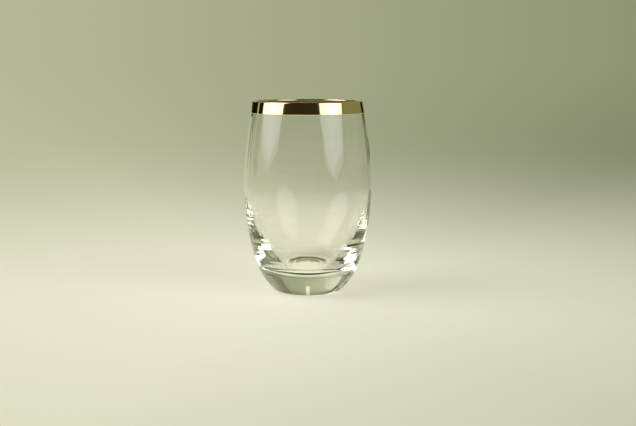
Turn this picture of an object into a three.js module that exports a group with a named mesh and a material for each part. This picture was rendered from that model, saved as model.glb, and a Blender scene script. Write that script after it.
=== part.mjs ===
// A barrel-shaped highball glass with a gold band fired onto its lip.
// Millimetres, +Z up. The origin is the centre of the foot, on the plane that the glass stands on.
//
// The glass is a body of revolution. Its section is a chain of tangent arcs through stations that
// are measured on the glass: lip, shoulder, belly, heel and foot outside, lip, belly and floor inside.
// The band is a thin sleeve on the same arcs, set off from the glass by a small gap.
import * as THREE from "three";

// Outside of the glass
const HEIGHT = 120; // from the foot to the top of the lip
const LIP_DIAMETER = 69;
const SHOULDER_DIAMETER = 77.4;
const SHOULDER_HEIGHT = 90;
const BELLY_DIAMETER = 80; // the widest place
const BELLY_HEIGHT = 67;
const HEEL_DIAMETER = 66; // where the side starts to draw in to the foot
const HEEL_HEIGHT = 20;
const FOOT_DIAMETER = 34; // outer edge of the flat ring that the glass stands on
const FOOT_EDGE_RADIUS = 7.5; // rounding between that ring and the heel

// Underside: a shallow hollow inside the ring, which keeps the glass from rocking
const PUNT_DIAMETER = 22; // inner edge of the flat ring
const PUNT_DEPTH = 1.5;
const PUNT_EDGE_RADIUS = 2; // rounding between the hollow and the ring

// Inside of the glass
const LIP_WALL = 1.5;
const SHOULDER_WALL = 1.7;
const BELLY_WALL = 2;
const BASE_THICKNESS = 14.8; // from the plane of the foot to the middle of the floor
const FLOOR_DIAMETER = 37; // dished floor, up to where the corner starts
const FLOOR_DISH_DEPTH = 2.2;
const CORNER_RADIUS = 6.5; // between the floor and the inner wall

// Gold band: over the lip, down the outside, and a little way down the inside
const BAND_DEPTH = 7.5; // from the top of the lip to the band's lower edge outside
const BAND_TURN_IN = 0.9; // from the top of the lip to the band's edge inside
const BAND_THICKNESS = 0.2;
const BAND_GAP = 0.05; // clear space between band and glass

// Fineness of the facets
const CHORD_ERROR = 0.05; // how far a straight facet may lie from its arc
const LEAST_STEPS = 2; // facets along the shortest arc
const TURN_STEPS = 60; // facets round the axis

const UP = new THREE.Vector2(0, 1);
const DOWN = new THREE.Vector2(0, -1);
const HALF_TURN = Math.PI;

// A stretch of the section: x is the distance from the axis and y the height.
// A radius over 0 bends round a centre on the axis side and one under 0 round a centre on the outer side.
// Angles run anticlockwise from straight out, and face is 1 on the outside of the glass and -1 on the inside.
class SectionArc {
  constructor(centre, radius, from, to, face) {
    this.centre = centre;
    this.radius = radius;
    this.from = from;
    this.to = to;
    this.face = face;
    const facetAngle = 2 * Math.acos(Math.max(0, 1 - CHORD_ERROR / Math.abs(radius)));
    this.steps = Math.max(LEAST_STEPS, Math.ceil(Math.abs(to - from) / facetAngle));
  }

  points() {
    const clockwise = this.to < this.from;
    const curve = new THREE.ArcCurve(this.centre.x, this.centre.y, this.radius, this.from, this.to, clockwise);
    return curve.getPoints(this.steps);
  }

  // The same arc moved off the glass by a distance, with as many facets.
  offset(distance) {
    const radius = this.radius + this.face * distance;
    const moved = new SectionArc(this.centre, radius, this.from, this.to, this.face);
    moved.steps = this.steps;
    return moved;
  }

  // The angle at which the arc passes a height.
  angleAtHeight(height) {
    return Math.asin((height - this.centre.y) / this.radius);
  }

  // The arc between two of its angles.
  between(from, to) {
    return new SectionArc(this.centre, this.radius, from, to, this.face);
  }

  reversed() {
    return this.between(this.to, this.from);
  }

  // The direction of travel at the end of the arc.
  endDirection() {
    const way = Math.sign(this.radius * (this.to - this.from));
    return new THREE.Vector2(-Math.sin(this.to), Math.cos(this.to)).multiplyScalar(way);
  }
}

// The arc that leaves start along direction and runs onto a small circle round target, where the two touch.
// It meets that circle on its outer side if roundRadius is over 0, on its axis side if that is under 0,
// and ends at target itself if it is 0.
function tangentArc(start, direction, target, roundRadius, face) {
  const outward = new THREE.Vector2(direction.y, -direction.x).multiplyScalar(Math.sign(direction.y));
  const reach = target.clone().sub(start);
  const radius = (roundRadius ** 2 - reach.lengthSq()) / (2 * (reach.dot(outward) + roundRadius));
  const centre = start.clone().addScaledVector(outward, -radius);
  const touch = target.clone().sub(centre).divideScalar(radius - roundRadius);
  return new SectionArc(centre, radius, angleOf(outward), angleOf(touch), face);
}

function angleOf(spoke) {
  return Math.atan2(spoke.y, spoke.x);
}

function pointAt(diameter, height) {
  return new THREE.Vector2(diameter / 2, height);
}

// The lip is a full round between the outside and the inside.
const lipRadius = LIP_WALL / 2;
const lipCentre = new THREE.Vector2(LIP_DIAMETER / 2 - lipRadius, HEIGHT - lipRadius);

// Outside, from the belly up to the lip.
const belly = pointAt(BELLY_DIAMETER, BELLY_HEIGHT);
const shoulder = pointAt(SHOULDER_DIAMETER, SHOULDER_HEIGHT);
const bellyArc = tangentArc(belly, UP, shoulder, 0, 1);
const neckArc = tangentArc(shoulder, bellyArc.endDirection(), lipCentre, lipRadius, 1);
const bandEdgeAngle = neckArc.angleAtHeight(HEIGHT - BAND_DEPTH);
const bareNeckArc = neckArc.between(neckArc.from, bandEdgeAngle);
const bandedNeckArc = neckArc.between(bandEdgeAngle, neckArc.to);

// Outside, from the belly down to the flat ring of the foot.
const heel = pointAt(HEEL_DIAMETER, HEEL_HEIGHT);
const footEdgeCentre = pointAt(FOOT_DIAMETER, FOOT_EDGE_RADIUS);
const sideArc = tangentArc(belly, DOWN, heel, 0, 1);
const heelArc = tangentArc(heel, sideArc.endDirection(), footEdgeCentre, FOOT_EDGE_RADIUS, 1);
const footEdgeArc = new SectionArc(footEdgeCentre, FOOT_EDGE_RADIUS, -HALF_TURN / 2, heelArc.to, 1);

// Underside, from the axis out to the ring. The hollow's dome touches the rounding of its edge.
const puntEdgeCentre = pointAt(PUNT_DIAMETER, PUNT_EDGE_RADIUS);
const puntReach = (PUNT_DIAMETER / 2) ** 2 + PUNT_DEPTH ** 2 - 2 * PUNT_EDGE_RADIUS * PUNT_DEPTH;
const puntRadius = puntReach / (2 * PUNT_DEPTH);
const puntCentre = new THREE.Vector2(0, PUNT_DEPTH - puntRadius);
const puntTouchAngle = angleOf(puntEdgeCentre.clone().sub(puntCentre));
const puntArc = new SectionArc(puntCentre, puntRadius, HALF_TURN / 2, puntTouchAngle, -1);
const puntEdgeArc = new SectionArc(
  puntEdgeCentre,
  PUNT_EDGE_RADIUS,
  puntTouchAngle + HALF_TURN,
  1.5 * HALF_TURN,
  1,
);

// Inside, from the belly up to the lip.
const innerBelly = pointAt(BELLY_DIAMETER - 2 * BELLY_WALL, BELLY_HEIGHT);
const innerShoulder = pointAt(SHOULDER_DIAMETER - 2 * SHOULDER_WALL, SHOULDER_HEIGHT);
const innerBellyArc = tangentArc(innerBelly, UP, innerShoulder, 0, -1);
const innerNeckArc = tangentArc(innerShoulder, innerBellyArc.endDirection(), lipCentre, -lipRadius, -1);
const turnInAngle = innerNeckArc.angleAtHeight(HEIGHT - BAND_TURN_IN);
const bareInnerNeckArc = innerNeckArc.between(innerNeckArc.from, turnInAngle);
const bandedInnerNeckArc = innerNeckArc.between(turnInAngle, innerNeckArc.to);
const lipArc = new SectionArc(lipCentre, lipRadius, neckArc.to, innerNeckArc.to + HALF_TURN, 1);

// Inside, from the belly down to the dished floor.
const dishRadius = ((FLOOR_DIAMETER / 2) ** 2 + FLOOR_DISH_DEPTH ** 2) / (2 * FLOOR_DISH_DEPTH);
const dishCentre = new THREE.Vector2(0, BASE_THICKNESS + dishRadius);
const dishEdgeAngle = -Math.acos(FLOOR_DIAMETER / 2 / dishRadius);
const dishArc = new SectionArc(dishCentre, dishRadius, dishEdgeAngle, -HALF_TURN / 2, -1);
const cornerCentre = new THREE.Vector2(Math.cos(dishEdgeAngle), Math.sin(dishEdgeAngle))
  .multiplyScalar(dishRadius - CORNER_RADIUS)
  .add(dishCentre);
const innerSideArc = tangentArc(innerBelly, DOWN, cornerCentre, CORNER_RADIUS, -1);
const cornerArc = new SectionArc(cornerCentre, CORNER_RADIUS, innerSideArc.to, dishEdgeAngle, -1);

// The points of a run of arcs, each join once.
function chain(arcs) {
  const points = [];
  for (const arc of arcs) {
    for (const point of arc.points()) {
      const last = points.at(-1);
      if (!last || last.distanceTo(point) > CHORD_ERROR / 10) {
        points.push(point);
      }
    }
  }
  return points;
}

// A section turned about the axis, which becomes Z.
function turned(section) {
  return new THREE.LatheGeometry(section, TURN_STEPS).rotateX(HALF_TURN / 2);
}

function glassBody() {
  const section = chain([
    puntArc,
    puntEdgeArc,
    footEdgeArc,
    heelArc.reversed(),
    sideArc.reversed(),
    bellyArc,
    bareNeckArc,
    bandedNeckArc,
    lipArc,
    bandedInnerNeckArc.reversed(),
    bareInnerNeckArc.reversed(),
    innerBellyArc.reversed(),
    innerSideArc,
    cornerArc,
    dishArc,
  ]);
  section.at(0).x = 0;
  section.at(-1).x = 0;
  const clearGlass = new THREE.MeshStandardMaterial({
    color: 0xe6e8df,
    roughness: 0.03,
    metalness: 0,
    transparent: true,
    opacity: 0.35,
  });
  const mesh = new THREE.Mesh(turned(section), clearGlass);
  mesh.name = "glass_body";
  return mesh;
}

function rimBand() {
  const seat = [bandedNeckArc, lipArc, bandedInnerNeckArc.reversed()];
  const outerFace = chain(seat.map((arc) => arc.offset(BAND_GAP + BAND_THICKNESS)));
  const innerFace = chain(seat.map((arc) => arc.offset(BAND_GAP))).reverse();
  const section = [...outerFace, ...innerFace, outerFace[0].clone()];
  const firedGold = new THREE.MeshStandardMaterial({
    color: 0xd9c48a,
    roughness: 0.08,
    metalness: 1,
  });
  const mesh = new THREE.Mesh(turned(section), firedGold);
  mesh.name = "rim_band";
  return mesh;
}

const highballGlass = new THREE.Group();
highballGlass.name = "highball_glass";
highballGlass.add(glassBody(), rimBand());

export default highballGlass;
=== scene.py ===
"""A highball glass: a clear barrel-shaped tumbler with a gold band fired onto its lip.

The glass and its band are bodies of revolution about Z. Both come from one section, a chain of
tangent arcs in the half plane of radius and height, which is carried round the axis on a grid.
The glass, and every pattern on a surface, is given in millimetres, and the set in metres.
"""

import logging
import math
from dataclasses import dataclass, field
from enum import Enum
from typing import Protocol

import bpy
import numpy as np
from mathutils import Matrix, Vector


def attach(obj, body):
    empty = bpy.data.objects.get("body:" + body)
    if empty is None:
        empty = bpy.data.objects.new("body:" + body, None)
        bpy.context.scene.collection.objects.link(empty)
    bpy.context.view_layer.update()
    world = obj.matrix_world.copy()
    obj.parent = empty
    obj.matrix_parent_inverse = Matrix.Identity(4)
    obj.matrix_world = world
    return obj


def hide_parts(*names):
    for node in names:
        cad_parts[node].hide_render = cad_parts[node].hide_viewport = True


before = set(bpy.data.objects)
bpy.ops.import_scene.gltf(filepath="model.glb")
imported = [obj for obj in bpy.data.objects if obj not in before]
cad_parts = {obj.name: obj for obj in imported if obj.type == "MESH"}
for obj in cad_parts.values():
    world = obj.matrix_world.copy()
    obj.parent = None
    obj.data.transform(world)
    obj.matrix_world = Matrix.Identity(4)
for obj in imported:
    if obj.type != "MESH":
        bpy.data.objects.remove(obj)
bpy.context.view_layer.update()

MM = 0.001
BODY = "root"
PHOTO_WIDTH = 636  # pixels
GLASS_BOUNCES = 32  # how often a ray may turn on its way

# Section
UP = np.array([0.0, 1.0])
DOWN = np.array([0.0, -1.0])
LEAST_STEPS = 2  # along the shortest arc
LARGEST_TURN = math.radians(5)  # between two points of an arc
SAME_POINT = 1e-6  # millimetres, under which two points are one

# Set, in metres
MIDDLE = 0.06  # the middle of the glass, which the lamps face
RIM_LEVEL = 0.123  # just over the rim
LOW_LEVEL = 0.05  # the lower half of the bowl

# Ray depths are whole numbers, so these limits lie halfway between two of them.
THROWN_BACK_ONCE = 0.5
INTO_AND_OUT_OF_GLASS = 2.5

# The Mix node has a socket of each name for every kind of data, so its colours go by number.
MIX_A = 6
MIX_B = 7
MIX_COLOUR = 2

Tree = bpy.types.NodeTree
Socket = bpy.types.NodeSocket

log = logging.getLogger("highball_glass")


def linear(hex_colour: str) -> tuple[float, float, float, float]:
    """Turns an sRGB hex colour such as "#D9C48A" into linear RGBA.

    Args:
        hex_colour: six hex digits after a hash.

    Returns:
        Red, green, blue and an alpha of 1.
    """
    srgb = np.array([int(hex_colour[i : i + 2], 16) for i in (1, 3, 5)]) / 255
    rgb = np.where(srgb <= 0.04045, srgb / 12.92, ((srgb + 0.055) / 1.055) ** 2.4)
    return (float(rgb[0]), float(rgb[1]), float(rgb[2]), 1.0)


def add_node(
    tree: Tree, kind: str, inputs: dict[str | int, object] | None = None, **settings: object
) -> bpy.types.Node:
    """Adds a node, sets its properties, and fills or links its input sockets.

    Args:
        tree: the node tree that takes the node.
        kind: Blender's name for the node's class.
        inputs: socket name or number to a value, or to another node's output, which is linked.
        settings: the node's own properties.

    Returns:
        The new node.
    """
    node = tree.nodes.new(kind)
    for name, value in settings.items():
        setattr(node, name, value)
    for name, value in (inputs or {}).items():
        if isinstance(value, Socket):
            tree.links.new(value, node.inputs[name])
        else:
            node.inputs[name].default_value = value
    return node


def new_tree(name: str) -> tuple[bpy.types.Material, Tree]:
    """Makes an empty node material.

    Args:
        name: the material's name.

    Returns:
        The material and its cleared node tree.
    """
    material = bpy.data.materials.new(name)
    material.use_nodes = True
    material.node_tree.nodes.clear()
    return material, material.node_tree


def level_streaks(
    tree: Tree, place: Socket, length: float, width: float, detail: float
) -> Socket:
    """Adds a pattern of level streaks, as a cloth or a brush leaves that is drawn round a piece.

    It is noise at the place (x / length, y / length, z / width).

    Args:
        tree: the tree that takes the nodes.
        place: Object coordinates.
        length: how long a streak is, in millimetres.
        width: how wide it is, in millimetres.
        detail: how many finer layers the noise has.

    Returns:
        The strength of the streaks, from 0 to 1.
    """
    stretch = (1 / (length * MM), 1 / (length * MM), 1 / (width * MM))
    drawn_out = add_node(
        tree, "ShaderNodeVectorMath", {0: place, 1: stretch}, operation="MULTIPLY"
    ).outputs["Vector"]
    return add_node(
        tree, "ShaderNodeTexNoise", {"Vector": drawn_out, "Scale": 1.0, "Detail": detail}
    ).outputs["Fac"]


def add_piece(name: str, vertices: np.ndarray, faces: list[list[int]]) -> bpy.types.Object:
    """Makes a mesh object and puts it into the scene.

    Args:
        name: the object's name.
        vertices: a row of three coordinates for each vertex, in metres.
        faces: the numbers of each face's vertices, anticlockwise as seen from outside.

    Returns:
        The object.
    """
    mesh = bpy.data.meshes.new(name)
    mesh.from_pydata(vertices.tolist(), [], faces)
    mesh.update()
    piece = bpy.data.objects.new(name, mesh)
    bpy.context.scene.collection.objects.link(piece)
    return piece


@dataclass(frozen=True)
class Arc:
    """A stretch of the section, in millimetres from the axis and up from the foot.

    A point at angle a is centre + radius * (cos a, sin a). A radius under 0 bends the section
    outwards.
    """

    centre: np.ndarray
    radius: float
    start: float
    stop: float

    def points(self, step: float) -> np.ndarray:
        """Points along the arc, no further apart than a step, nor than the largest turn.

        Args:
            step: the longest distance between points.

        Returns:
            An array of (radius, height) rows, both ends included.
        """
        sweep = abs(self.stop - self.start)
        steps_by_length = math.ceil(abs(self.radius) * sweep / step)
        steps_by_turn = math.ceil(sweep / LARGEST_TURN)
        count = max(LEAST_STEPS, steps_by_length, steps_by_turn)
        angle = np.linspace(self.start, self.stop, count + 1)
        return self.centre + self.radius * np.stack([np.cos(angle), np.sin(angle)], axis=1)

    def end_heading(self) -> np.ndarray:
        """The direction of travel at the end of the arc."""
        way = math.copysign(1, self.radius * (self.stop - self.start))
        return way * np.array([-math.sin(self.stop), math.cos(self.stop)])

    def angle_at(self, height: float) -> float:
        """The angle at which the arc passes a height."""
        return math.asin((height - self.centre[1]) / self.radius)

    def between(self, start: float, stop: float) -> "Arc":
        """The part of the arc between two of its angles."""
        return Arc(self.centre, self.radius, start, stop)

    def reversed(self) -> "Arc":
        """The same arc run the other way."""
        return self.between(self.stop, self.start)

    def grown(self, distance: float) -> "Arc":
        """The concentric arc whose radius is larger by a distance."""
        return Arc(self.centre, self.radius + distance, self.start, self.stop)


def tangent_arc(
    start: np.ndarray, heading: np.ndarray, target: np.ndarray, round_radius: float = 0.0
) -> Arc:
    """The arc that leaves a point along a heading and runs onto a small circle, where they touch.

    With w the way from start to target and n the outward normal at start, the radius is
    (round_radius^2 - |w|^2) / (2 (w.n + round_radius)).

    Args:
        start: where the arc starts.
        heading: its direction there.
        target: the centre of the small circle.
        round_radius: the circle's radius, over 0 to meet it on its outer side, under 0 on its
            axis side, and 0 for a point.

    Returns:
        The arc.
    """
    outward = math.copysign(1, heading[1]) * np.array([heading[1], -heading[0]])
    reach = target - start
    radius = (round_radius**2 - reach @ reach) / (2 * (reach @ outward + round_radius))
    centre = start - radius * outward
    touch = (target - centre) / (radius - round_radius)
    return Arc(centre, radius, math.atan2(outward[1], outward[0]), math.atan2(touch[1], touch[0]))


def chain(arcs: list[Arc], step: float) -> np.ndarray:
    """The points of a run of arcs, with each join once.

    Args:
        arcs: the arcs, in order, each starting where the last one ends.
        step: the longest distance between points.

    Returns:
        An array of (radius, height) rows.
    """
    points = np.concatenate([arc.points(step) for arc in arcs])
    gaps = np.linalg.norm(np.diff(points, axis=0), axis=1)
    return points[np.concatenate([[True], gaps > SAME_POINT])]


@dataclass(frozen=True)
class TumblerSection:
    """The section of the glass, by the stations that a glassmaker would gauge, in millimetres."""

    height: float = 120.0
    lip_diameter: float = 69.0
    shoulder_diameter: float = 77.4
    shoulder_height: float = 90.0
    belly_diameter: float = 80.0
    belly_height: float = 67.0
    heel_diameter: float = 66.0
    heel_height: float = 20.0
    foot_diameter: float = 34.0
    foot_edge_radius: float = 7.5
    punt_diameter: float = 22.0
    punt_depth: float = 1.5
    punt_edge_radius: float = 2.0
    lip_wall: float = 1.5
    shoulder_wall: float = 1.7
    belly_wall: float = 2.0
    base_thickness: float = 14.8
    floor_diameter: float = 37.0
    floor_dish_depth: float = 2.2
    corner_radius: float = 6.5

    @property
    def belly(self) -> np.ndarray:
        """The widest point outside."""
        return np.array([self.belly_diameter / 2, self.belly_height])

    @property
    def inner_belly(self) -> np.ndarray:
        """The widest point inside."""
        return self.belly - (self.belly_wall, 0)

    @property
    def lip_round(self) -> float:
        """The radius of the lip's full round."""
        return self.lip_wall / 2

    @property
    def lip_centre(self) -> np.ndarray:
        """The middle of the lip's round."""
        return np.array([self.lip_diameter / 2 - self.lip_round, self.height - self.lip_round])

    def upper(
        self, belly: np.ndarray, wall_at_shoulder: float, lip_side: float
    ) -> tuple[Arc, Arc]:
        """The two arcs from the belly up to the lip, outside or inside.

        Args:
            belly: the widest point on that side.
            wall_at_shoulder: how far inside the outline the arcs pass the shoulder.
            lip_side: the lip's radius, under 0 for the inside.

        Returns:
            The belly arc and the neck arc.
        """
        shoulder = np.array([self.shoulder_diameter / 2 - wall_at_shoulder, self.shoulder_height])
        belly_arc = tangent_arc(belly, UP, shoulder)
        neck_arc = tangent_arc(shoulder, belly_arc.end_heading(), self.lip_centre, lip_side)
        return belly_arc, neck_arc

    def outside_upper(self) -> tuple[Arc, Arc]:
        """The outside arcs from belly to lip."""
        return self.upper(self.belly, 0, self.lip_round)

    def inside_upper(self) -> tuple[Arc, Arc]:
        """The inside arcs from belly to lip."""
        return self.upper(self.inner_belly, self.shoulder_wall, -self.lip_round)

    def lip(self) -> Arc:
        """The full round from the outside neck to the inside neck."""
        outside, inside = self.outside_upper()[1], self.inside_upper()[1]
        return Arc(self.lip_centre, self.lip_round, outside.stop, inside.stop + math.pi)

    def outside_lower(self) -> list[Arc]:
        """The outside arcs from the belly down to the flat ring of the foot.

        Returns:
            The side arc, the heel arc and the rounding of the foot's edge.
        """
        heel = np.array([self.heel_diameter / 2, self.heel_height])
        edge = np.array([self.foot_diameter / 2, self.foot_edge_radius])
        side_arc = tangent_arc(self.belly, DOWN, heel)
        heel_arc = tangent_arc(heel, side_arc.end_heading(), edge, self.foot_edge_radius)
        return [side_arc, heel_arc, Arc(edge, self.foot_edge_radius, heel_arc.stop, -math.pi / 2)]

    def underside(self) -> list[Arc]:
        """The hollow under the base, from the axis out to the flat ring, with a rounded edge.

        The dome's circle and the edge's circle touch, so the edge's centre lies at the dome's
        radius plus the edge's radius from the dome's centre.

        Returns:
            The dome's arc and the edge's arc.
        """
        half = self.punt_diameter / 2
        depth = self.punt_depth
        rounding = self.punt_edge_radius
        dome_radius = (half**2 + depth**2 - 2 * rounding * depth) / (2 * depth)
        dome_centre = np.array([0.0, depth - dome_radius])
        edge_centre = np.array([half, rounding])
        edge_angle = math.atan2(*(edge_centre - dome_centre)[::-1])
        return [
            Arc(dome_centre, dome_radius, math.pi / 2, edge_angle),
            Arc(edge_centre, rounding, edge_angle + math.pi, 3 * math.pi / 2),
        ]

    def inside_lower(self) -> list[Arc]:
        """The inside arcs from the belly down to the middle of the dished floor.

        The dish's radius is (half^2 + depth^2) / (2 depth), with half its diameter, and the
        corner's circle lies inside the dish's circle and touches it at the dish's edge.

        Returns:
            The side arc, the corner's arc and the dish's arc.
        """
        half = self.floor_diameter / 2
        dish_radius = (half**2 + self.floor_dish_depth**2) / (2 * self.floor_dish_depth)
        dish_centre = np.array([0.0, self.base_thickness + dish_radius])
        dish_edge = -math.acos(half / dish_radius)
        spoke = np.array([math.cos(dish_edge), math.sin(dish_edge)])
        corner_centre = dish_centre + (dish_radius - self.corner_radius) * spoke
        side_arc = tangent_arc(self.inner_belly, DOWN, corner_centre, self.corner_radius)
        return [
            side_arc,
            Arc(corner_centre, self.corner_radius, side_arc.stop, dish_edge),
            Arc(dish_centre, dish_radius, dish_edge, -math.pi / 2),
        ]


def turned(name: str, radius: np.ndarray, height: np.ndarray, ring: bool) -> bpy.types.Object:
    """Makes a closed body of revolution from a grid of radii and heights, in millimetres.

    Column j stands at the angle 2 pi j / columns, and row i is a station of the section: the
    vertex is (radius sin angle, -radius cos angle, height).

    Args:
        name: the object's name.
        radius: distances from the axis, a row for each station and a column for each angle.
        height: heights, on the same grid.
        ring: True if the section closes on itself, False if its two ends lie on the axis.

    Returns:
        The object, with smooth faces that point outwards.
    """
    rows, columns = radius.shape
    angle = 2 * np.pi * np.arange(columns) / columns
    grid = np.stack([radius * np.sin(angle), -radius * np.cos(angle), height], axis=-1) * MM
    here = np.arange(columns)
    after = (here + 1) % columns
    if ring:
        vertices = grid.reshape(-1, 3)
        lower = np.arange(rows)
        upper = (lower + 1) % rows
        caps = np.empty((0, 3), int)
    else:
        # The two poles are single vertices, numbered after those of the rows between them.
        between = rows - 2
        vertices = np.concatenate([grid[1:-1].reshape(-1, 3), grid[0, :1], grid[-1, :1]])
        lower = np.arange(between - 1)
        upper = lower + 1
        pole = np.full(columns, between * columns)
        end = (between - 1) * columns
        first_cap = np.stack([pole, after, here], axis=1)
        last_cap = np.stack([pole + 1, end + here, end + after], axis=1)
        caps = np.concatenate([first_cap, last_cap])
    low = lower[:, None] * columns
    high = upper[:, None] * columns
    quads = np.stack([low + here, low + after, high + after, high + here], axis=-1)
    faces = quads.reshape(-1, 4).tolist() + caps.tolist()
    piece = add_piece(name, vertices, faces)
    piece.data.polygons.foreach_set("use_smooth", np.ones(len(faces), bool))
    piece.data.update()
    return piece


@dataclass(frozen=True)
class ClearGlass:
    """Soda-lime glass, blown in a mould and fire-polished, with its patterns in millimetres.

    A cloth has left faint smears on it, and the ring that it stands on is scuffed.
    """

    tint: str = "#FCFCFA"
    smear_tint: str = "#F9F9F8"
    depth_colour: str = "#F3F5E8"
    depth_density: float = 12.0
    ior: float = 1.52
    clean_roughness: float = 0.0
    smear_roughness: float = 0.008
    smear_length: float = 30.0
    smear_width: float = 6.0
    smear_start: float = 0.5
    smear_full: float = 0.75
    scuff_roughness: float = 0.12
    scuff_grain: float = 0.6  # coarser than the real scratches, so that it shows
    scuff_height: float = 0.3

    def make(self) -> bpy.types.Material:
        """Makes the material.

        Returns:
            A transmitting material, whose roughness follows the smears and the scuffs.
        """
        # Fire-polished soda-lime glass gives the eye clear, hard-edged highlights, and a breath of
        # olive where it is thick. The smears soften a highlight a little, and the scuffs haze it.
        material, tree = new_tree("fire_polished_soda_lime_glass")
        place = add_node(tree, "ShaderNodeTexCoord").outputs["Object"]
        streaks = level_streaks(tree, place, self.smear_length, self.smear_width, detail=3.0)
        smeared = add_node(
            tree,
            "ShaderNodeMapRange",
            {"Value": streaks, "From Min": self.smear_start, "From Max": self.smear_full},
        ).outputs["Result"]
        wiped = add_node(
            tree,
            "ShaderNodeMapRange",
            {"Value": smeared, "To Min": self.clean_roughness, "To Max": self.smear_roughness},
        ).outputs["Result"]
        tint = add_node(
            tree,
            "ShaderNodeMix",
            {0: smeared, MIX_A: linear(self.tint), MIX_B: linear(self.smear_tint)},
            data_type="RGBA",
        ).outputs[MIX_COLOUR]
        height = add_node(tree, "ShaderNodeSeparateXYZ", {0: place}).outputs["Z"]
        touching = add_node(
            tree,
            "ShaderNodeMapRange",
            {"Value": height, "From Min": self.scuff_height * MM, "From Max": 0.0},
        ).outputs["Result"]
        scuff = add_node(
            tree,
            "ShaderNodeTexNoise",
            {"Vector": place, "Scale": 1 / (self.scuff_grain * MM), "Detail": 2.0},
        ).outputs["Fac"]
        for share in (touching, self.scuff_roughness):
            scuff = add_node(
                tree, "ShaderNodeMath", {0: scuff, 1: share}, operation="MULTIPLY"
            ).outputs[0]
        roughness = add_node(
            tree, "ShaderNodeMath", {0: wiped, 1: scuff}, operation="ADD"
        ).outputs[0]
        shader = add_node(
            tree,
            "ShaderNodeBsdfPrincipled",
            {
                "Base Color": tint,
                "Roughness": roughness,
                "IOR": self.ior,
                "Transmission Weight": 1.0,
            },
        )
        depth = add_node(
            tree,
            "ShaderNodeVolumeAbsorption",
            {"Color": linear(self.depth_colour), "Density": self.depth_density},
        )
        add_node(
            tree,
            "ShaderNodeOutputMaterial",
            {"Surface": shader.outputs["BSDF"], "Volume": depth.outputs["Volume"]},
        )
        return material


@dataclass(frozen=True)
class FiredGold:
    """Bright gold, brushed on as a liquid and fired, with its patterns in millimetres.

    It is thinner and paler along its lower edge, and rubbed dull along the top of the lip.
    """

    low_edge: float
    top: float
    thick: str = "#F3DDA6"
    thin: str = "#F6EFDC"
    rubbed: str = "#F1E3BC"
    bright_roughness: float = 0.05
    brushed_roughness: float = 0.1
    rubbed_roughness: float = 0.16
    line_length: float = 14.0
    line_width: float = 0.3  # coarser than the hairs of a brush, so that the lines show
    line_depth: float = 0.002
    thin_reach: float = 0.4
    rubbed_reach: float = 0.5
    least_wander: float = 0.4
    most_wander: float = 1.6

    def make(self) -> bpy.types.Material:
        """Makes the material.

        Returns:
            A metal material, whose colour and roughness follow the brush lines and the wear.
        """
        # Fired bright gold gives the eye a yellow mirror, which faint lines from the brush draw
        # out round the band. The worn edges are paler, and wander with the lines.
        material, tree = new_tree("fired_bright_gold")
        place = add_node(tree, "ShaderNodeTexCoord").outputs["Object"]
        lines = level_streaks(tree, place, self.line_length, self.line_width, detail=2.0)
        height = add_node(tree, "ShaderNodeSeparateXYZ", {0: place}).outputs["Z"]
        wander = add_node(
            tree,
            "ShaderNodeMapRange",
            {"Value": lines, "To Min": self.least_wander, "To Max": self.most_wander},
        ).outputs["Result"]
        worn = []
        for edge, reach in ((self.low_edge, self.thin_reach), (self.top, -self.rubbed_reach)):
            near = add_node(
                tree,
                "ShaderNodeMapRange",
                {"Value": height, "From Min": (edge + reach) * MM, "From Max": edge * MM},
            ).outputs["Result"]
            ragged = add_node(
                tree, "ShaderNodeMath", {0: near, 1: wander}, operation="MULTIPLY", use_clamp=True
            ).outputs[0]
            worn.append(ragged)
        colour = linear(self.thick)
        for amount, shade in zip(worn, (self.thin, self.rubbed)):
            colour = add_node(
                tree,
                "ShaderNodeMix",
                {0: amount, MIX_A: colour, MIX_B: linear(shade)},
                data_type="RGBA",
            ).outputs[MIX_COLOUR]
        brushed = add_node(
            tree,
            "ShaderNodeMapRange",
            {"Value": lines, "To Min": self.bright_roughness, "To Max": self.brushed_roughness},
        ).outputs["Result"]
        roughness = add_node(
            tree,
            "ShaderNodeMapRange",
            {"Value": worn[-1], "To Min": brushed, "To Max": self.rubbed_roughness},
        ).outputs["Result"]
        relief = add_node(
            tree,
            "ShaderNodeBump",
            {"Height": lines, "Distance": self.line_depth * MM, "Strength": 1.0},
        ).outputs["Normal"]
        shader = add_node(
            tree,
            "ShaderNodeBsdfPrincipled",
            {"Base Color": colour, "Metallic": 1.0, "Roughness": roughness, "Normal": relief},
        )
        add_node(tree, "ShaderNodeOutputMaterial", {"Surface": shader.outputs["BSDF"]})
        return material


@dataclass(frozen=True)
class GoldBack:
    """The back of the fired gold film, which shows through the glass, in millimetres."""

    thick: str = "#75633A"
    thin: str = "#61512B"
    least_roughness: float = 0.2
    most_roughness: float = 0.3
    line_length: float = 14.0
    line_width: float = 0.3

    def make(self) -> bpy.types.Material:
        """Makes the material.

        Returns:
            A metal material, whose colour and roughness follow the brush lines.
        """
        # The side of the film that was fired against the glass gives the eye a brown, half-dull
        # metal, with the same brush lines as its bright face.
        material, tree = new_tree("fired_gold_back")
        place = add_node(tree, "ShaderNodeTexCoord").outputs["Object"]
        lines = level_streaks(tree, place, self.line_length, self.line_width, detail=2.0)
        colour = add_node(
            tree,
            "ShaderNodeMix",
            {0: lines, MIX_A: linear(self.thick), MIX_B: linear(self.thin)},
            data_type="RGBA",
        ).outputs[MIX_COLOUR]
        roughness = add_node(
            tree,
            "ShaderNodeMapRange",
            {"Value": lines, "To Min": self.least_roughness, "To Max": self.most_roughness},
        ).outputs["Result"]
        shader = add_node(
            tree,
            "ShaderNodeBsdfPrincipled",
            {"Base Color": colour, "Metallic": 1.0, "Roughness": roughness},
        )
        add_node(tree, "ShaderNodeOutputMaterial", {"Surface": shader.outputs["BSDF"]})
        return material


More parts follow.
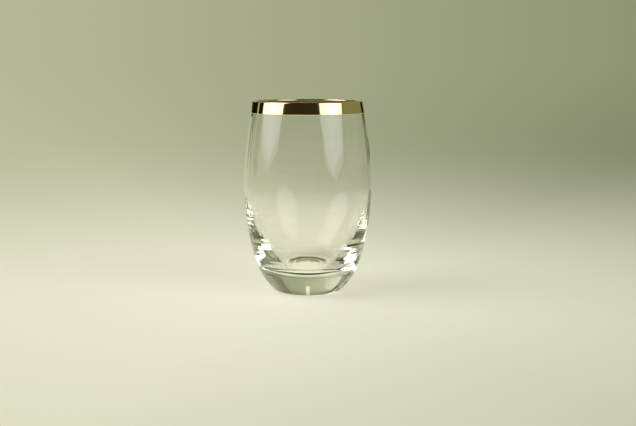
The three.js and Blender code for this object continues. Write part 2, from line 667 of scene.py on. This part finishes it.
@dataclass(frozen=True)
class FormingMarks:
    """What forming leaves on the inside of the wall, in millimetres: rings and upright waves.

    A drift of the rings has an amount, a number of turns, a phase and a climb, which is how fast
    its phase grows with the height. The two patch waves have a number of turns and a climb.
    """

    ring_pitch: float = 2.7
    ring_height: float = 0.03
    ring_bands: tuple[tuple[float, float], ...] = ((14.0, 32.0), (43.0, 56.0))
    ring_fade: float = 3.0
    ring_drifts: tuple[tuple[float, int, float, float], ...] = (
        (2.2, 2, 0.7, 0.0),
        (1.1, 5, 2.1, 0.0),
        (0.5, 9, 0.0, 1 / 3),
    )
    ring_level: float = 0.55
    ring_patch: float = 0.9
    patch_waves: tuple[tuple[int, float], ...] = ((3, 1 / 5), (7, -1 / 4))
    ring_least: float = 0.1
    seam_power: int = 4
    wave_turns: tuple[int, ...] = (7, 13, 22, 31, 41, 53)
    wave_slope: float = 0.006
    wave_phase: float = 2.4
    wave_sway: float = 0.8
    sway_height: float = 25.0
    wave_low: float = 20.0
    wave_high: float = 119.0
    wave_fade: float = 14.0

    @staticmethod
    def span(height: np.ndarray, low: float, high: float, fade: float) -> np.ndarray:
        """A weight that is 1 between two heights and falls to 0 at them, over the fade."""
        return np.clip(np.minimum(height - low, high - height) / fade, 0, 1)

    def rings(self, height: np.ndarray, angle: np.ndarray) -> np.ndarray:
        """The rings, which follow sin(2 pi height / pitch + drift) in each band of height.

        Their drift is a sum of sines of the angle. Their strength comes in patches, by the
        product of two sines, and is greatest at the two sides, where the mould parts.

        Args:
            height: heights, as a column.
            angle: angles round the axis, as a row.

        Returns:
            How far the rings stand up, with a row for each height and a column for each angle.
        """
        drift = sum(
            amount * np.sin(turns * angle + phase + climb * height)
            for amount, turns, phase, climb in self.ring_drifts
        )
        wide, narrow = (np.sin(turns * angle + climb * height) for turns, climb in self.patch_waves)
        strength = np.clip(self.ring_level + self.ring_patch * wide * narrow, 0, 1)
        at_seam = self.ring_least + (1 - self.ring_least) * np.sin(angle) ** self.seam_power
        bands = sum(self.span(height, *band, self.ring_fade) for band in self.ring_bands)
        crests = np.sin(2 * np.pi * height / self.ring_pitch + drift)
        return self.ring_height * bands * strength * at_seam * crests

    def waves(self, radius: np.ndarray, height: np.ndarray, angle: np.ndarray) -> np.ndarray:
        """The upright waves: one of k turns is slope * radius / k high.

        It follows sin(k (angle + phase) + sway), where the sway changes slowly with the height.

        Args:
            radius: distances from the axis, as a column.
            height: heights, as a column.
            angle: angles round the axis, as a row.

        Returns:
            How far the waves stand up, with a row for each height and a column for each angle.
        """
        total = np.zeros((len(height), angle.shape[1]))
        for turns in self.wave_turns:
            sway = self.wave_sway * np.sin(height / self.sway_height + turns)
            total += np.sin(turns * (angle + self.wave_phase) + sway) / turns
        fade = self.span(height, self.wave_low, self.wave_high, self.wave_fade)
        return self.wave_slope * radius * fade * total

    def rise(self, radius: np.ndarray, height: np.ndarray, angle: np.ndarray) -> np.ndarray:
        """How far the marked surface stands off the plain one, rings and waves together."""
        return self.rings(height, angle) + self.waves(radius, height, angle)


class Piece(Protocol):
    """Anything with a mesh of its own, which is built and then dressed."""

    def build(self) -> bpy.types.Object:
        """Makes the mesh object."""

    def dress(self, piece: bpy.types.Object) -> None:
        """Gives it its finish, and its place in the frame or on the stage."""


@dataclass
class GlassBody:
    """The tumbler itself, one piece of glass, in millimetres."""

    section: TumblerSection
    finish: ClearGlass = field(default_factory=ClearGlass)
    marks: FormingMarks = field(default_factory=FormingMarks)
    step: float = 1.5
    fine_step: float = 0.4
    columns: int = 300

    def build(self) -> bpy.types.Object:
        """Carries the section round the axis, and moves its inside by the forming marks.

        The inside moves along the normal of the section, which is its direction of travel turned
        by a quarter.

        Returns:
            The glass.
        """
        section = self.section
        belly_arc, neck_arc = section.outside_upper()
        inner_belly_arc, inner_neck_arc = section.inside_upper()
        lower_arcs = [arc.reversed() for arc in reversed(section.outside_lower())]
        outer_arcs = [*section.underside(), *lower_arcs, belly_arc, neck_arc, section.lip()]
        outer = chain(outer_arcs, self.step)
        upper = chain([inner_neck_arc.reversed(), inner_belly_arc.reversed()], self.step)
        side, corner, dish = section.inside_lower()
        lower = np.concatenate([chain([side, corner], self.fine_step), dish.points(self.step)[1:]])
        points = np.concatenate([outer, upper[1:], lower[1:]])
        # Both ends of the section lie on the axis.
        points[[0, -1], 0] = 0
        radius, height = points[:, :1], points[:, 1:]
        travel = np.gradient(points, axis=0)
        travel = travel / np.linalg.norm(travel, axis=1, keepdims=True)
        angle = 2 * np.pi * np.arange(self.columns)[None, :] / self.columns
        inside = (np.arange(len(points)) >= len(outer))[:, None]
        rise = np.where(inside, self.marks.rise(radius, height, angle), 0)
        marked_radius = radius + rise * travel[:, 1:]
        marked_height = height - rise * travel[:, :1]
        return turned("glass", marked_radius, marked_height, ring=False)

    def dress(self, piece: bpy.types.Object) -> None:
        """Gives the glass its finish and its place in the frame.

        Args:
            piece: the glass.
        """
        piece.data.materials.append(self.finish.make())
        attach(piece, BODY)
        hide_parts("glass_body")


@dataclass
class RimBand:
    """The gold band over the lip, a film that hugs the glass, in millimetres."""

    section: TumblerSection
    back_finish: GoldBack = field(default_factory=GoldBack)
    depth: float = 7.5
    turn_in: float = 0.9
    proud: float = 0.03
    sunk: float = 0.03
    step: float = 0.4
    columns: int = 288

    def build(self) -> bpy.types.Object:
        """Carries the film's section round the axis.

        Its face is the lip's arcs moved out a little, and its back the same arcs moved in.

        Returns:
            The band, with its second material on its back.
        """
        section = self.section
        lip_arc = section.lip()
        neck_arc = section.outside_upper()[1]
        inner_neck_arc = section.inside_upper()[1]
        outer_edge = neck_arc.angle_at(section.height - self.depth)
        inner_edge = inner_neck_arc.angle_at(section.height - self.turn_in)
        outer = neck_arc.between(outer_edge, neck_arc.stop)
        inner = inner_neck_arc.between(inner_neck_arc.stop, inner_edge)
        face, back = (
            chain([outer.grown(off), lip_arc.grown(off), inner.grown(-off)], self.step)
            for off in (self.proud, -self.sunk)
        )
        points = np.concatenate([face, back[::-1]])
        radius = np.repeat(points[:, :1], self.columns, axis=1)
        height = np.repeat(points[:, 1:], self.columns, axis=1)
        piece = turned("gold_band", radius, height, ring=True)
        # Each row of faces starts at its own point, so the back starts at the last point of the face.
        behind = np.repeat(np.arange(len(points)) >= len(face) - 1, self.columns)
        piece.data.polygons.foreach_set("material_index", behind.astype(np.int32))
        return piece

    def dress(self, piece: bpy.types.Object) -> None:
        """Gives the band its two finishes and its place in the frame.

        Args:
            piece: the band.
        """
        top = self.section.height
        face_finish = FiredGold(low_edge=top - self.depth, top=top)
        piece.data.materials.append(face_finish.make())
        piece.data.materials.append(self.back_finish.make())
        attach(piece, BODY)
        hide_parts("rim_band")


@dataclass(frozen=True)
class Backdrop:
    """The olive grey behind the set, with painted light that makes it paler on the left, by the
    sideways part of a direction.
    """

    # Painted light: the left is paler, as the light falls from that side.
    left: str = "#BABD9D"
    right: str = "#808667"
    left_reach: float = -0.35
    right_reach: float = 0.45

    def colour(self, tree: Tree, sideways: Socket) -> Socket:
        """Adds the ramp from left to right.

        Args:
            tree: the tree that takes the nodes.
            sideways: the X part of a direction, from -1 to 1.

        Returns:
            The colour.
        """
        across = add_node(
            tree,
            "ShaderNodeMapRange",
            {"Value": sideways, "From Min": self.left_reach, "From Max": self.right_reach},
        ).outputs["Result"]
        return add_node(
            tree,
            "ShaderNodeMix",
            {0: across, MIX_A: linear(self.left), MIX_B: linear(self.right)},
            data_type="RGBA",
        ).outputs[MIX_COLOUR]


@dataclass(frozen=True)
class SeamlessPaper:
    """Matt seamless paper, with its patterns in millimetres from the axis of the glass.

    It is cream in a painted pool of light near the glass, and takes the backdrop's olive grey further
    off.
    Under the foot it has painted light, for the light that the base gathers, and where the foot's
    ring stands it has a painted brown shadow, which runs from faint in front to full behind, in
    shares of the ring's radius.
    """

    # The cream near the glass is a painted pool of light, which gives way to the backdrop's colour
    # over the pool's distance.
    near: str = "#EAE8D5"
    unlit: str = "#000000"  # far off, where the lamps add nothing to the paper's own colour
    pool: float = 480.0
    spread: float = 1.25
    near_glow: float = 0.505
    # Painted light: under the foot the paper glows in full, for the light that the base gathers.
    painted_foot_glow: float = 1.0
    foot_core: float = 15.75
    foot_reach: float = 21.0
    # A painted brown shadow where the foot's ring stands, faint in front and full behind.
    ring: str = "#64572C"
    ring_radius: float = 13.9
    ring_width: float = 4.0
    ring_softness: float = 0.5
    ring_faint: float = 0.1
    faint_share: float = -0.25
    full_share: float = 0.5

    def far_share(self, tree: Tree, distance: Socket) -> Socket:
        """Adds the share of the far colour, which is 1 - exp(-(distance / pool)^spread).

        Args:
            tree: the tree that takes the nodes.
            distance: the distance from the glass.

        Returns:
            The share, from 0 to 1.
        """
        result = distance
        for operation, inputs in (
            ("DIVIDE", {1: self.pool * MM}),
            ("POWER", {1: self.spread}),
            ("MULTIPLY", {1: -1.0}),
            ("EXPONENT", {}),
        ):
            result = add_node(
                tree, "ShaderNodeMath", {0: result, **inputs}, operation=operation
            ).outputs[0]
        return add_node(
            tree, "ShaderNodeMath", {0: 1.0, 1: result}, operation="SUBTRACT"
        ).outputs[0]

    def painted_ring_shadow(self, tree: Tree, distance: Socket, depth: Socket) -> Socket:
        """Adds a mask for the painted brown shadow where the ring of the foot stands, full on the far
        side from the camera.

        Args:
            tree: the tree that takes the nodes.
            distance: the distance from the axis.
            depth: how far a place lies behind the axis.

        Returns:
            The share of the shade, from 0 to 1.
        """
        off = add_node(
            tree, "ShaderNodeMath", {0: distance, 1: self.ring_radius * MM}, operation="SUBTRACT"
        ).outputs[0]
        off = add_node(tree, "ShaderNodeMath", {0: off}, operation="ABSOLUTE").outputs[0]
        half = self.ring_width / 2
        standing = add_node(
            tree,
            "ShaderNodeMapRange",
            {
                "Value": off,
                "From Min": (half + self.ring_softness) * MM,
                "From Max": (half - self.ring_softness) * MM,
            },
        ).outputs["Result"]
        behind = add_node(
            tree,
            "ShaderNodeMapRange",
            {
                "Value": depth,
                "From Min": self.faint_share * self.ring_radius * MM,
                "From Max": self.full_share * self.ring_radius * MM,
                "To Min": self.ring_faint,
            },
        ).outputs["Result"]
        return add_node(
            tree, "ShaderNodeMath", {0: standing, 1: behind}, operation="MULTIPLY"
        ).outputs[0]

    def glow(self, tree: Tree, distance: Socket, share: Socket) -> Socket:
        """Adds the strength of the paper's own colour to rays from the camera, gold and glass.

        Args:
            tree: the tree that takes the nodes.
            distance: the distance from the axis.
            share: the share of the far colour, which glows in full.

        Returns:
            The strength, which is 0 to other rays.
        """
        # A painted pool of light under the foot, for the light that the base gathers.
        glow_with_painted_foot_light = add_node(
            tree,
            "ShaderNodeMapRange",
            {
                "Value": distance,
                "From Min": self.foot_core * MM,
                "From Max": self.foot_reach * MM,
                "To Min": self.painted_foot_glow,
                "To Max": self.near_glow,
            },
        ).outputs["Result"]
        strength = add_node(
            tree, "ShaderNodeMapRange", {"Value": share, "To Min": glow_with_painted_foot_light}
        ).outputs["Result"]
        path = add_node(tree, "ShaderNodeLightPath").outputs
        seen = path["Is Camera Ray"]
        for kind in ("Is Glossy Ray", "Is Transmission Ray"):
            seen = add_node(
                tree, "ShaderNodeMath", {0: seen, 1: path[kind]}, operation="MAXIMUM"
            ).outputs[0]
        return add_node(
            tree, "ShaderNodeMath", {0: seen, 1: strength}, operation="MULTIPLY"
        ).outputs[0]

    def make(self, backdrop: Backdrop) -> bpy.types.Material:
        """Makes the material.

        Args:
            backdrop: the colour that the paper runs out into.

        Returns:
            A matt material that shows its own colour, and takes a shadow near the glass.
        """
        # Seamless paper gives the eye an even matt cream with no edge, line or horizon in it.
        material, tree = new_tree("seamless_paper")
        place = add_node(tree, "ShaderNodeTexCoord").outputs["Object"]
        distance = add_node(
            tree, "ShaderNodeVectorMath", {0: place}, operation="LENGTH"
        ).outputs["Value"]
        way = add_node(
            tree, "ShaderNodeVectorMath", {0: place}, operation="NORMALIZE"
        ).outputs["Vector"]
        sideways = add_node(tree, "ShaderNodeSeparateXYZ", {0: way}).outputs["X"]
        depth = add_node(tree, "ShaderNodeSeparateXYZ", {0: place}).outputs["Y"]
        share = self.far_share(tree, distance)
        # The first layer fades the painted pool of light into the backdrop; the second is the painted
        # shadow of the foot's ring.
        layers = (
            (share, backdrop.colour(tree, sideways)),
            (self.painted_ring_shadow(tree, distance, depth), linear(self.ring)),
        )
        colour = linear(self.near)
        for amount, top in layers:
            colour = add_node(
                tree, "ShaderNodeMix", {0: amount, MIX_A: colour, MIX_B: top}, data_type="RGBA"
            ).outputs[MIX_COLOUR]
        lit = add_node(
            tree,
            "ShaderNodeMix",
            {0: share, MIX_A: colour, MIX_B: linear(self.unlit)},
            data_type="RGBA",
        ).outputs[MIX_COLOUR]
        matt = add_node(tree, "ShaderNodeBsdfDiffuse", {"Color": lit}).outputs["BSDF"]
        shine = add_node(
            tree,
            "ShaderNodeEmission",
            {"Color": colour, "Strength": self.glow(tree, distance, share)},
        ).outputs["Emission"]
        both = add_node(tree, "ShaderNodeAddShader", {0: matt, 1: shine}).outputs["Shader"]
        add_node(tree, "ShaderNodeOutputMaterial", {"Surface": both})
        return material


@dataclass
class Floor:
    """A round of seamless paper under the glass, a hair lower than its foot."""

    backdrop: Backdrop
    finish: SeamlessPaper = field(default_factory=SeamlessPaper)
    reach: float = 60.0
    drop: float = 0.0001
    rings: int = 24
    columns: int = 96

    def build(self) -> bpy.types.Object:
        """Makes a flat disc, as rings whose radii grow as the cube of their number.

        Returns:
            The floor.
        """
        share = np.arange(self.rings + 1) / self.rings
        radius = np.repeat((self.reach * share**3)[:, None], self.columns, axis=1)
        angle = 2 * np.pi * np.arange(self.columns) / self.columns
        level = np.full_like(radius, -self.drop)
        grid = np.stack([radius * np.sin(angle), -radius * np.cos(angle), level], axis=-1)
        vertices = np.concatenate([grid[1:].reshape(-1, 3), grid[0, :1]])
        here = np.arange(self.columns)
        after = (here + 1) % self.columns
        low = np.arange(self.rings - 1)[:, None] * self.columns
        high = low + self.columns
        quads = np.stack([low + here, high + here, high + after, low + after], axis=-1)
        pole = np.full(self.columns, self.rings * self.columns)
        cap = np.stack([pole, here, after], axis=1)
        return add_piece("floor", vertices, quads.reshape(-1, 4).tolist() + cap.tolist())

    def dress(self, piece: bpy.types.Object) -> None:
        """Gives the floor its paper, and keeps it out of the part."""
        piece.data.materials.append(self.finish.make(self.backdrop))


class Side(Enum):
    """The side of the glass that a light or a card stands on, as the camera sees it."""

    LEFT = -1
    RIGHT = 1


def place_round(
    side: Side, azimuth: float, elevation: float, distance: float, height: float = MIDDLE
) -> Vector:
    """A place round the glass.

    Args:
        side: left or right.
        azimuth: degrees round from the camera.
        elevation: degrees up.
        distance: metres from the axis of the glass, at a height.
        height: that height, in metres.

    Returns:
        The place, in metres.
    """
    turn, rise = math.radians(azimuth), math.radians(elevation)
    flat = distance * math.cos(rise)
    across = side.value * flat * math.sin(turn)
    return Vector((across, -flat * math.cos(turn), height + distance * math.sin(rise)))


def face_glass(thing: bpy.types.Object) -> None:
    """Turns a lamp or a sheet so that its -Z side faces the middle of the glass."""
    way = Vector((0, 0, MIDDLE)) - thing.location
    thing.rotation_euler = way.to_track_quat("-Z", "Y").to_euler()


@dataclass(frozen=True)
class Umbrella:
    """A white shoot-through umbrella with eight ribs, which faces the glass.

    Its spread is the angle from its middle to the end of a rib, as the glass sees it. The cloth is
    brightest in its middle: middle and rim are shares of its radiance.
    """

    name: str
    side: Side
    azimuth: float
    elevation: float
    spread: float
    radiance: float
    middle: float = 1.15
    rim: float = 0.6
    ribs: int = 8
    distance: float = 1.3

    @property
    def radius(self) -> float:
        """The length of a rib."""
        return self.distance * math.tan(math.radians(self.spread))

    def build(self) -> bpy.types.Object:
        """Makes the umbrella's cloth, a flat sheet with a corner at the end of each rib.

        Corner j is radius * (cos a, sin a, 0), with a = 2 pi j / ribs - pi / 2.

        Returns:
            The cloth.
        """
        angle = 2 * np.pi * np.arange(self.ribs) / self.ribs - np.pi / 2
        circle = np.stack([np.cos(angle), np.sin(angle), np.zeros(self.ribs)], axis=1)
        cloth = add_piece(self.name, self.radius * circle, [list(range(self.ribs))[::-1]])
        cloth.location = place_round(self.side, self.azimuth, self.elevation, self.distance)
        face_glass(cloth)
        return cloth

    def dress(self, piece: bpy.types.Object) -> None:
        """Lights the cloth, and keeps it out of the part and the picture.

        The lamp behind the cloth is nearest to its middle, so the light falls off with the square
        of the distance from there.

        Args:
            piece: the cloth.
        """
        # White nylon with a lamp behind it gives the eye a soft light with a crisp outline.
        material, tree = new_tree("white_umbrella_nylon")
        place = add_node(tree, "ShaderNodeTexCoord").outputs["Object"]
        square = add_node(
            tree, "ShaderNodeVectorMath", {0: place, 1: place}, operation="DOT_PRODUCT"
        ).outputs["Value"]
        strength = add_node(
            tree,
            "ShaderNodeMapRange",
            {
                "Value": square,
                "From Max": self.radius**2,
                "To Min": self.middle * self.radiance,
                "To Max": self.rim * self.radiance,
            },
        ).outputs["Result"]
        glow = add_node(tree, "ShaderNodeEmission", {"Strength": strength})
        add_node(tree, "ShaderNodeOutputMaterial", {"Surface": glow.outputs["Emission"]})
        piece.data.materials.append(material)
        piece.visible_camera = False


@dataclass(frozen=True)
class Strip:
    """A narrow upright light behind the glass, above the picture.

    Its width and length are angles in degrees, as the glass sees it.
    """

    name: str
    elevation: float
    width: float
    length: float
    radiance: float
    azimuth: float = 180.0
    distance: float = 1.3

    def build(self) -> bpy.types.Object:
        """Makes the light, whose power is pi * area * radiance.

        Returns:
            The light.
        """
        light = bpy.data.lights.new(self.name, "AREA")
        light.shape = "RECTANGLE"
        light.size = 2 * self.distance * math.tan(math.radians(self.width / 2))
        light.size_y = 2 * self.distance * math.tan(math.radians(self.length / 2))
        light.energy = math.pi * light.size * light.size_y * self.radiance
        lamp = bpy.data.objects.new(self.name, light)
        lamp.location = place_round(Side.RIGHT, self.azimuth, self.elevation, self.distance)
        face_glass(lamp)
        lamp.visible_camera = False
        bpy.context.scene.collection.objects.link(lamp)
        return lamp


class CardShade(Enum):
    """The paint on a card, from dark to pale."""

    UMBER = "#26251A"
    MOSS = "#4A4834"
    OLIVE = "#8C8B6D"
    STONE = "#9A9978"


@dataclass(frozen=True)
class Flag:
    """A matt card that stands beside or behind the glass, between two azimuths and two heights.

    The cards draw the dark lines in the wall and the band, and the shade in the base.
    """

    name: str
    side: Side
    near_azimuth: float
    far_azimuth: float
    distance: float = 0.5
    bottom: float = RIM_LEVEL
    top: float = 0.9
    shade: CardShade = CardShade.UMBER
    in_base: bool = False

    def build(self) -> bpy.types.Object:
        """Makes the card, an upright sheet with its corners on a round about the glass.

        Returns:
            The card.
        """
        turns = (self.near_azimuth, self.far_azimuth, self.far_azimuth, self.near_azimuth)
        levels = (self.bottom, self.bottom, self.top, self.top)
        corners = [
            place_round(self.side, turn, 0, self.distance, level)
            for turn, level in zip(turns, levels)
        ]
        return add_piece(self.name, np.array(corners), [list(range(len(corners)))])

    def dress(self, piece: bpy.types.Object) -> None:
        """Paints the card, and keeps it out of the part, the picture and the floor's light.

        It shows in light that the glass or the gold has thrown back. One that is for the base
        shows through the base too, which light goes into and out of once. None shows straight
        through the bowl, which has two walls.

        Args:
            piece: the card.
        """
        # Matt painted card gives the eye an even dark shape, with no gloss of its own.
        material, tree = new_tree("matt_painted_card")
        path = add_node(tree, "ShaderNodeLightPath").outputs
        shown = add_node(
            tree,
            "ShaderNodeMath",
            {0: path["Glossy Depth"], 1: THROWN_BACK_ONCE},
            operation="GREATER_THAN",
        ).outputs[0]
        if self.in_base:
            once = add_node(
                tree,
                "ShaderNodeMath",
                {0: path["Transmission Depth"], 1: INTO_AND_OUT_OF_GLASS},
                operation="LESS_THAN",
            ).outputs[0]
            shown = add_node(
                tree, "ShaderNodeMath", {0: shown, 1: once}, operation="MAXIMUM"
            ).outputs[0]
        clear = add_node(tree, "ShaderNodeBsdfTransparent").outputs["BSDF"]
        paint = {"Color": linear(self.shade.value)}
        matt = add_node(tree, "ShaderNodeBsdfDiffuse", paint).outputs["BSDF"]
        seen = add_node(tree, "ShaderNodeMixShader", {0: shown, 1: clear, 2: matt})
        add_node(tree, "ShaderNodeOutputMaterial", {"Surface": seen.outputs["Shader"]})
        piece.data.materials.append(material)
        piece.visible_camera = False
        piece.visible_shadow = False
        piece.visible_diffuse = False


@dataclass(frozen=True)
class Surround:
    """The room round the set: the backdrop beyond the glass, and a dark studio elsewhere.

    Its limits are parts of a direction of length 1: depths away from the camera, and heights. Rays
    that come through the glass see the backdrop all round, between the gap and the dark height.
    """

    backdrop: Backdrop
    dark: str = "#2E2A1E"
    dark_depth: float = -0.45
    lit_depth: float = -0.15
    lit_height: float = 0.6
    dark_height: float = 0.92
    gap_low: float = 0.24
    gap_high: float = 0.34
    lift: float = 1.2
    lift_low: float = 0.1
    lift_high: float = 0.4

    def build(self) -> None:
        """Makes the world, which the camera sees as the backdrop alone."""
        world = bpy.data.worlds.new("studio")
        world.use_nodes = True
        tree = world.node_tree
        tree.nodes.clear()
        way = add_node(tree, "ShaderNodeTexCoord").outputs["Generated"]
        parts = add_node(tree, "ShaderNodeSeparateXYZ", {0: way}).outputs
        path = add_node(tree, "ShaderNodeLightPath").outputs
        limits = (
            ("Y", self.dark_depth, self.lit_depth),
            ("Z", self.dark_height, self.lit_height),
            ("Z", self.gap_low, self.gap_high),
        )
        beyond, below, raised = (
            add_node(
                tree,
                "ShaderNodeMapRange",
                {"Value": parts[axis], "From Min": none, "From Max": full},
            ).outputs["Result"]
            for axis, none, full in limits
        )
        lit = add_node(
            tree, "ShaderNodeMath", {0: beyond, 1: below}, operation="MULTIPLY"
        ).outputs[0]
        through = raised
        for share in (below, path["Is Transmission Ray"]):
            through = add_node(
                tree, "ShaderNodeMath", {0: through, 1: share}, operation="MULTIPLY"
            ).outputs[0]
        shown = lit
        for share in (path["Is Camera Ray"], through):
            shown = add_node(
                tree, "ShaderNodeMath", {0: shown, 1: share}, operation="MAXIMUM"
            ).outputs[0]
        colour = add_node(
            tree,
            "ShaderNodeMix",
            {
                0: shown,
                MIX_A: linear(self.dark),
                MIX_B: self.backdrop.colour(tree, parts["X"]),
            },
            data_type="RGBA",
        ).outputs[MIX_COLOUR]
        strength = add_node(
            tree,
            "ShaderNodeMapRange",
            {
                "Value": parts["Z"],
                "From Min": self.lift_low,
                "From Max": self.lift_high,
                "To Min": 1.0,
                "To Max": self.lift,
            },
        ).outputs["Result"]
        light = add_node(tree, "ShaderNodeBackground", {"Color": colour, "Strength": strength})
        add_node(tree, "ShaderNodeOutputWorld", {"Surface": light.outputs["Background"]})
        bpy.context.scene.world = world


@dataclass(frozen=True)
class PhotoCamera:
    """The photograph's camera, in metres and degrees, with its focal length in pixels."""

    distance: float = 0.700
    height: float = 0.1435
    focal: float = 1120.0
    pitch: float = 7.65
    yaw: float = 0.53
    sensor_width: float = 36.0
    clip_start: float = 0.01

    def build(self) -> bpy.types.Object:
        """Makes the camera and gives it to the scene.

        Returns:
            The camera.
        """
        data = bpy.data.cameras.new("photo_camera")
        data.sensor_width = self.sensor_width
        data.lens = self.focal * self.sensor_width / PHOTO_WIDTH
        data.clip_start = self.clip_start
        camera = bpy.data.objects.new("photo_camera", data)
        turn = Matrix.Rotation(math.radians(-self.yaw), 4, "Z")
        tilt = Matrix.Rotation(math.radians(90 - self.pitch), 4, "X")
        place = Matrix.Translation((0, -self.distance, self.height))
        camera.matrix_world = place @ (turn @ tilt)
        bpy.context.scene.collection.objects.link(camera)
        bpy.context.scene.camera = camera
        return camera


def lengthen_light_paths() -> None:
    """Lets a ray turn often enough to leave the thick base, where it is thrown back many times."""
    paths = bpy.context.scene.cycles
    paths.max_bounces = GLASS_BOUNCES
    paths.glossy_bounces = GLASS_BOUNCES
    paths.transmission_bounces = GLASS_BOUNCES


def settle(part: Piece) -> None:
    """Builds and dresses a piece, and reports it.

    Args:
        part: the piece.
    """
    piece = part.build()
    part.dress(piece)
    log.info("%s: %d faces", piece.name, len(piece.data.polygons))


def main() -> None:
    """Builds the camera, the set and the glass, in that order."""
    logging.basicConfig(level=logging.INFO, format="%(name)s: %(message)s")
    bpy.context.scene.view_settings.view_transform = "Standard"
    lengthen_light_paths()
    PhotoCamera().build()
    backdrop = Backdrop()
    Surround(backdrop).build()
    settle(Floor(backdrop))
    Strip("back_strip", elevation=36, width=3.4, length=22, radiance=0.5).build()
    left, right = Side.LEFT, Side.RIGHT
    moss, olive, stone = CardShade.MOSS, CardShade.OLIVE, CardShade.STONE
    section = TumblerSection()
    parts = (
        Umbrella("left_umbrella", left, azimuth=77.5, elevation=31, spread=30.5, radiance=2.4),
        Umbrella("right_umbrella", right, azimuth=49.5, elevation=22.5, spread=25, radiance=2.2),
        Flag("near_left_flag", left, 99, 113.5, bottom=LOW_LEVEL),
        Flag("far_left_flag", left, 118.5, 143),
        Flag("low_left_flag", left, 118.5, 127, bottom=LOW_LEVEL, top=RIM_LEVEL),
        Flag("left_line_flag", left, 134, 141, bottom=LOW_LEVEL, top=RIM_LEVEL, shade=moss),
        Flag("left_edge_flag", left, 143, 165, top=0.2, shade=moss),
        Flag("base_flag", left, 119, 146, distance=0.52, shade=olive, in_base=True),
        Flag("right_edge_flag", right, 135, 150, bottom=0.105, top=0.2),
        Flag("right_flag", right, 143, 157, bottom=0.2, shade=stone, in_base=True),
        GlassBody(section),
        RimBand(section),
    )
    for part in parts:
        settle(part)


if __name__ == "__main__":
    main()
